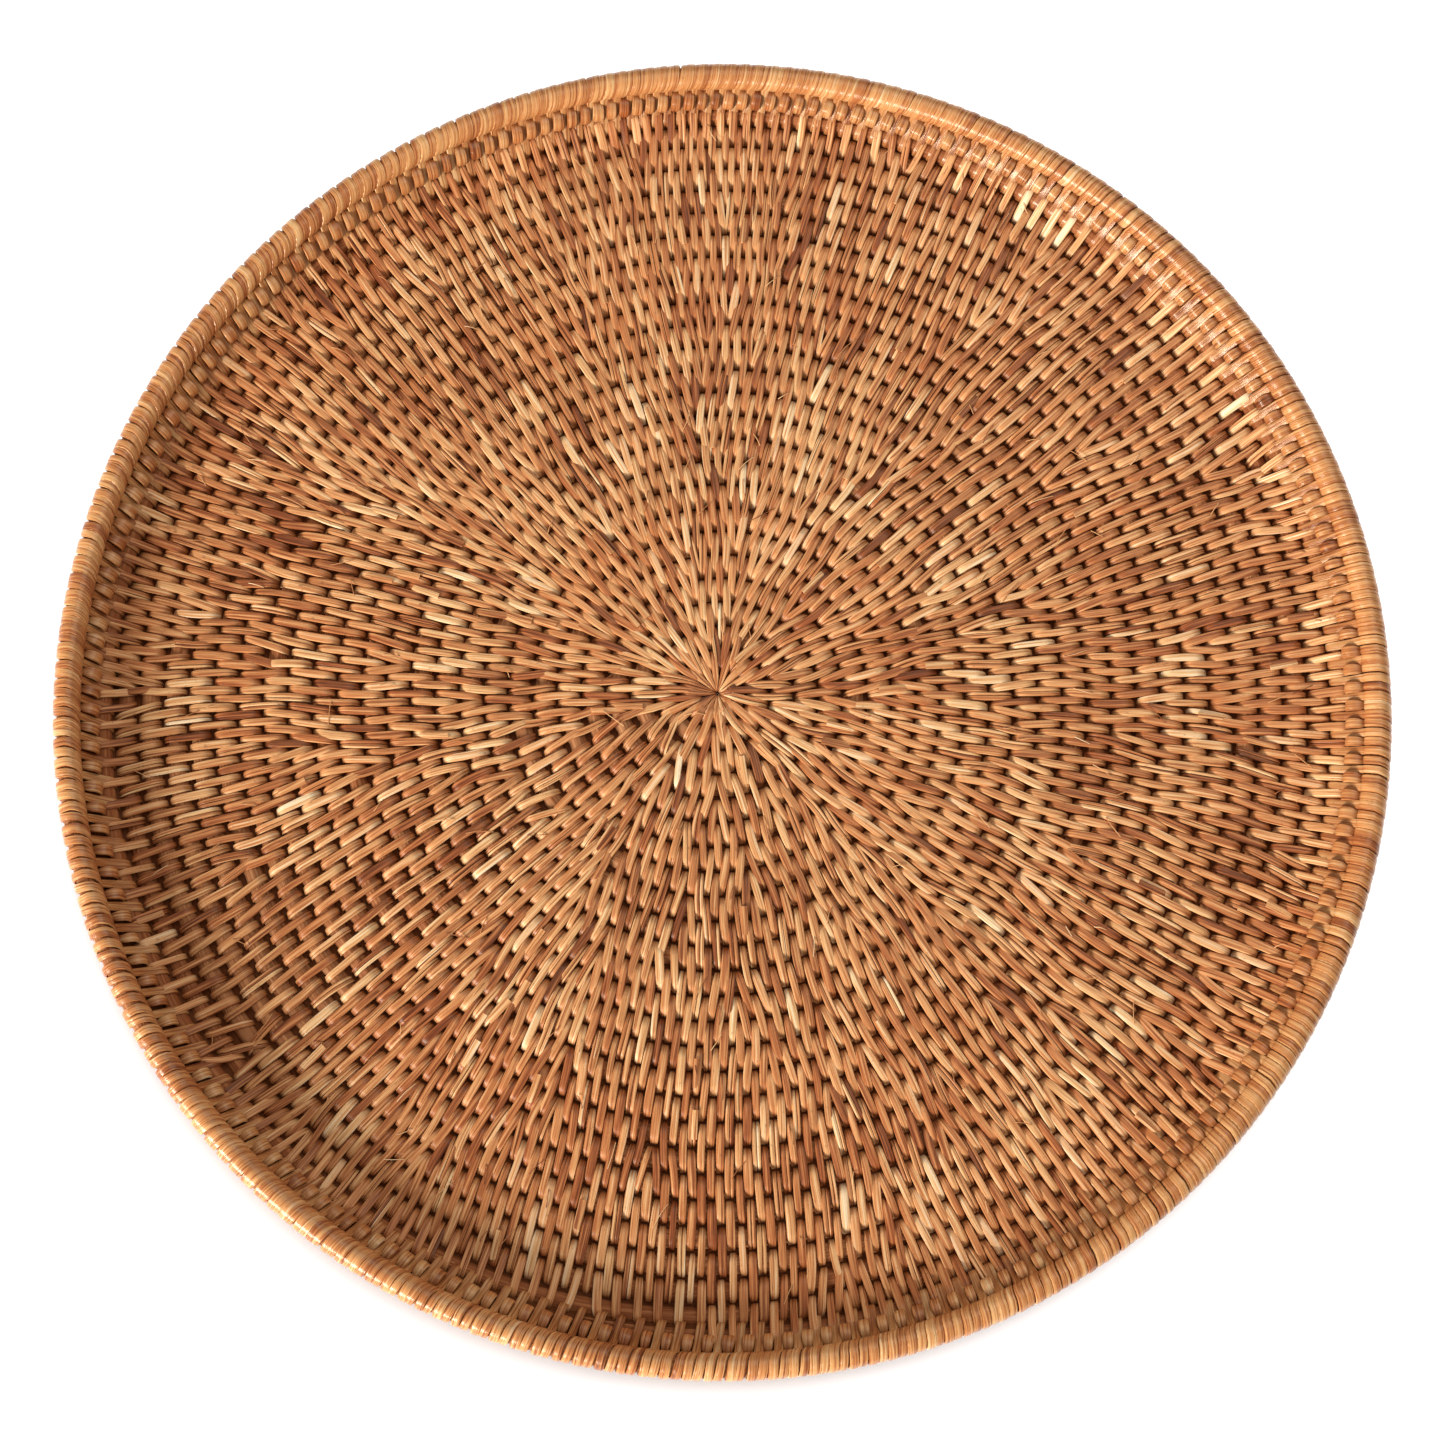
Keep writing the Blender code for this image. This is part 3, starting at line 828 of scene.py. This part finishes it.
def rattan(name, tones_ramp, roughness, gloss):
    """Split rattan: fibres along the strip, a tone for each strip, and painted shade in the
    grooves.
    """
    material = bpy.data.materials.new(name)
    material.use_nodes = True
    nodes = Nodes(material)
    shader = material.node_tree.nodes["Principled BSDF"]
    grain = nodes.add("ShaderNodeAttribute", attribute_name="grain").outputs["Vector"]
    look = nodes.add("ShaderNodeAttribute", attribute_name="look").outputs["Vector"]
    parts = nodes.add("ShaderNodeSeparateXYZ")
    nodes.link(look, parts.inputs[0])
    tone, red, depth = parts.outputs

    fibre = nodes.noise(nodes.stretched(grain, FIBRE), 1, 3, 0.6)
    streak = nodes.noise(nodes.stretched(grain, STREAK), 1, 2)
    on_tray = nodes.add("ShaderNodeTexCoord").outputs["Object"]
    patch = nodes.noise(on_tray, PATCH, 3)
    speck = nodes.noise(nodes.stretched(grain, SPECK), 1, 2)

    value = nodes.math("MULTIPLY_ADD", tone, TONE_WEIGHT, TONE_START)
    value = nodes.math("ADD", value, nodes.math("MULTIPLY", streak, STREAK_WEIGHT))
    value = nodes.math("ADD", value, nodes.math("MULTIPLY", fibre, FIBRE_WEIGHT))
    value = nodes.math("ADD", value, nodes.math("MULTIPLY", patch, PATCH_WEIGHT))
    colour = nodes.ramp(value, tones_ramp)
    reddish = nodes.mix(1, colour, RED_TINT, "MULTIPLY")
    colour = nodes.mix(nodes.math("MULTIPLY", red, RED_SHARE), colour, reddish)
    spots = nodes.ramp(speck, SPOT_EDGE)
    colour = nodes.mix(nodes.math("MULTIPLY", spots, SPOT_SHARE), colour, SPOT_COLOUR)
    # Painted shade: the colour darkens the deeper a station lies in a groove
    painted_shade = nodes.math("MULTIPLY", nodes.math("POWER", depth, GROOVE_SHADE_POWER), GROOVE_SHADE_SHARE)
    colour = nodes.mix(painted_shade, colour, GROOVE_SHADE_COLOUR)
    nodes.link(colour, shader.inputs["Base Color"])

    smoothest = roughness - ROUGHNESS_RANGE / 2
    nodes.link(nodes.math("MULTIPLY_ADD", fibre, ROUGHNESS_RANGE, smoothest),
               shader.inputs["Roughness"])
    shader.inputs["Specular IOR Level"].default_value = gloss
    shader.inputs["Specular Tint"].default_value = WAX_TINT

    bump = nodes.add("ShaderNodeBump")
    bump.inputs["Strength"].default_value = BUMP_STRENGTH
    bump.inputs["Distance"].default_value = BUMP_DEPTH
    height = nodes.math("ADD", nodes.math("MULTIPLY", streak, STREAK_BUMP), fibre)
    nodes.link(height, bump.inputs["Height"])
    nodes.link(bump.outputs[0], shader.inputs["Normal"])
    return material


# Ramps of tones, from dark to pale
HONEY = ((0.12, (0.13, 0.035, 0.012)), (0.34, (0.34, 0.105, 0.034)),
         (0.52, (0.58, 0.240, 0.084)), (0.72, (0.84, 0.480, 0.205)), (0.93, (0.96, 0.76, 0.48)))
BINDING = ((0.12, (0.13, 0.032, 0.010)), (0.34, (0.34, 0.100, 0.030)),
           (0.52, (0.56, 0.220, 0.070)), (0.72, (0.76, 0.400, 0.150)), (0.93, (0.86, 0.60, 0.34)))
CORE = ((0.16, (0.19, 0.05, 0.010)), (0.50, (0.32, 0.12, 0.045)), (0.88, (0.55, 0.26, 0.11)))


# Setting --------------------------------------------------------------------------------------
CAMERA_DISTANCE = 0.934
CAMERA_TILT = math.radians(10.7)    # off straight down
CAMERA_SIDE = (-0.075, -0.997)  # direction across the floor that the camera leans towards
AIM_SHIFT = (0.0009, -0.0120, 0)
FOCAL_LENGTH = 60.5
SENSOR_WIDTH = 36
FLOOR_SIZE = 6.0
SKY_STRENGTH = 0.31


def build_camera():
    """Camera almost overhead, leaning a little towards the near side."""
    middle = CENTRE + np.array((0, 0, 2 * COVER))
    sideways, near = (part * math.sin(CAMERA_TILT) for part in CAMERA_SIDE)
    spot = middle + CAMERA_DISTANCE * np.array((sideways, near, math.cos(CAMERA_TILT)))
    aim = middle + np.array(AIM_SHIFT)
    camera = bpy.data.objects.new("camera", bpy.data.cameras.new("camera"))
    camera.data.lens = FOCAL_LENGTH
    camera.data.sensor_width = SENSOR_WIDTH
    camera.data.clip_start = 0.01
    camera.location = spot
    camera.rotation_mode = "QUATERNION"
    camera.rotation_quaternion = Vector(aim - spot).to_track_quat("-Z", "Y")
    bpy.context.scene.collection.objects.link(camera)
    bpy.context.scene.camera = camera


def build_light(name, spot, size, power, lit=None):
    """Round lamp that faces the tray. It lights only the objects in lit, if that is given."""
    light = bpy.data.lights.new(name, "AREA")
    light.shape = "DISK"
    light.size = size
    light.energy = power
    lamp = bpy.data.objects.new(name, light)
    lamp.location = spot
    lamp.rotation_mode = "QUATERNION"
    lamp.rotation_quaternion = (-Vector(spot)).to_track_quat("-Z", "Y")
    bpy.context.scene.collection.objects.link(lamp)
    if lit is not None:
        group = bpy.data.collections.new(f"{name}_lit")
        for piece in lit:
            group.objects.link(piece)
        lamp.light_linking.receiver_collection = group


def build_setting(pieces):
    """White floor with a lamp of its own, a key lamp low on the near left and a pale sky.

    The key lights only the tray, so it throws no shadow on the floor.
    """
    mesh = bpy.data.meshes.new("floor")
    half = FLOOR_SIZE / 2
    mesh.from_pydata([(-half, -half, 0), (half, -half, 0), (half, half, 0), (-half, half, 0)],
                     [], [(0, 1, 2, 3)])
    floor = bpy.data.objects.new("floor", mesh)
    bpy.context.scene.collection.objects.link(floor)
    paint = bpy.data.materials.new("floor_paint")
    paint.use_nodes = True
    shader = paint.node_tree.nodes["Principled BSDF"]
    shader.inputs["Base Color"].default_value = (0.93, 0.93, 0.93, 1)
    shader.inputs["Roughness"].default_value = 0.9
    shader.inputs["Specular IOR Level"].default_value = 0.1
    mesh.materials.append(paint)
    build_light("key", spot=(-2.20, -1.78, 1.03), size=1.2, power=152, lit=pieces)
    build_light("floor_light", spot=(0.0, 0.0, 2.6), size=2.0, power=75, lit=[floor])
    build_light("overhead", spot=(0.55, 0.60, 1.5), size=1.4, power=9)
    world = bpy.data.worlds.new("sky")
    world.use_nodes = True
    background = world.node_tree.nodes["Background"]
    background.inputs["Color"].default_value = (1, 1, 1, 1)
    background.inputs["Strength"].default_value = SKY_STRENGTH
    bpy.context.scene.world = world
    bpy.context.scene.view_settings.view_transform = "Standard"


def main():
    build_camera()
    strip = rattan("rattan_strip", HONEY, roughness=0.40, gloss=0.40)
    core = rattan("rattan_core", CORE, roughness=0.60, gloss=0.12)
    binding = rattan("rattan_binding", BINDING, roughness=0.26, gloss=0.65)
    pieces = build_canes(core)
    rows, dives = lay_out_rows()
    rim_dives = lay_out_rim(rows)
    for row in range(FLOOR_LAPS + 1):
        pieces.append(build_lacing_row(row, rows, dives, rim_dives, strip))
    pieces += build_rim(rim_dives, binding)
    pieces.append(build_rim_core(core))
    build_setting(pieces)


main()
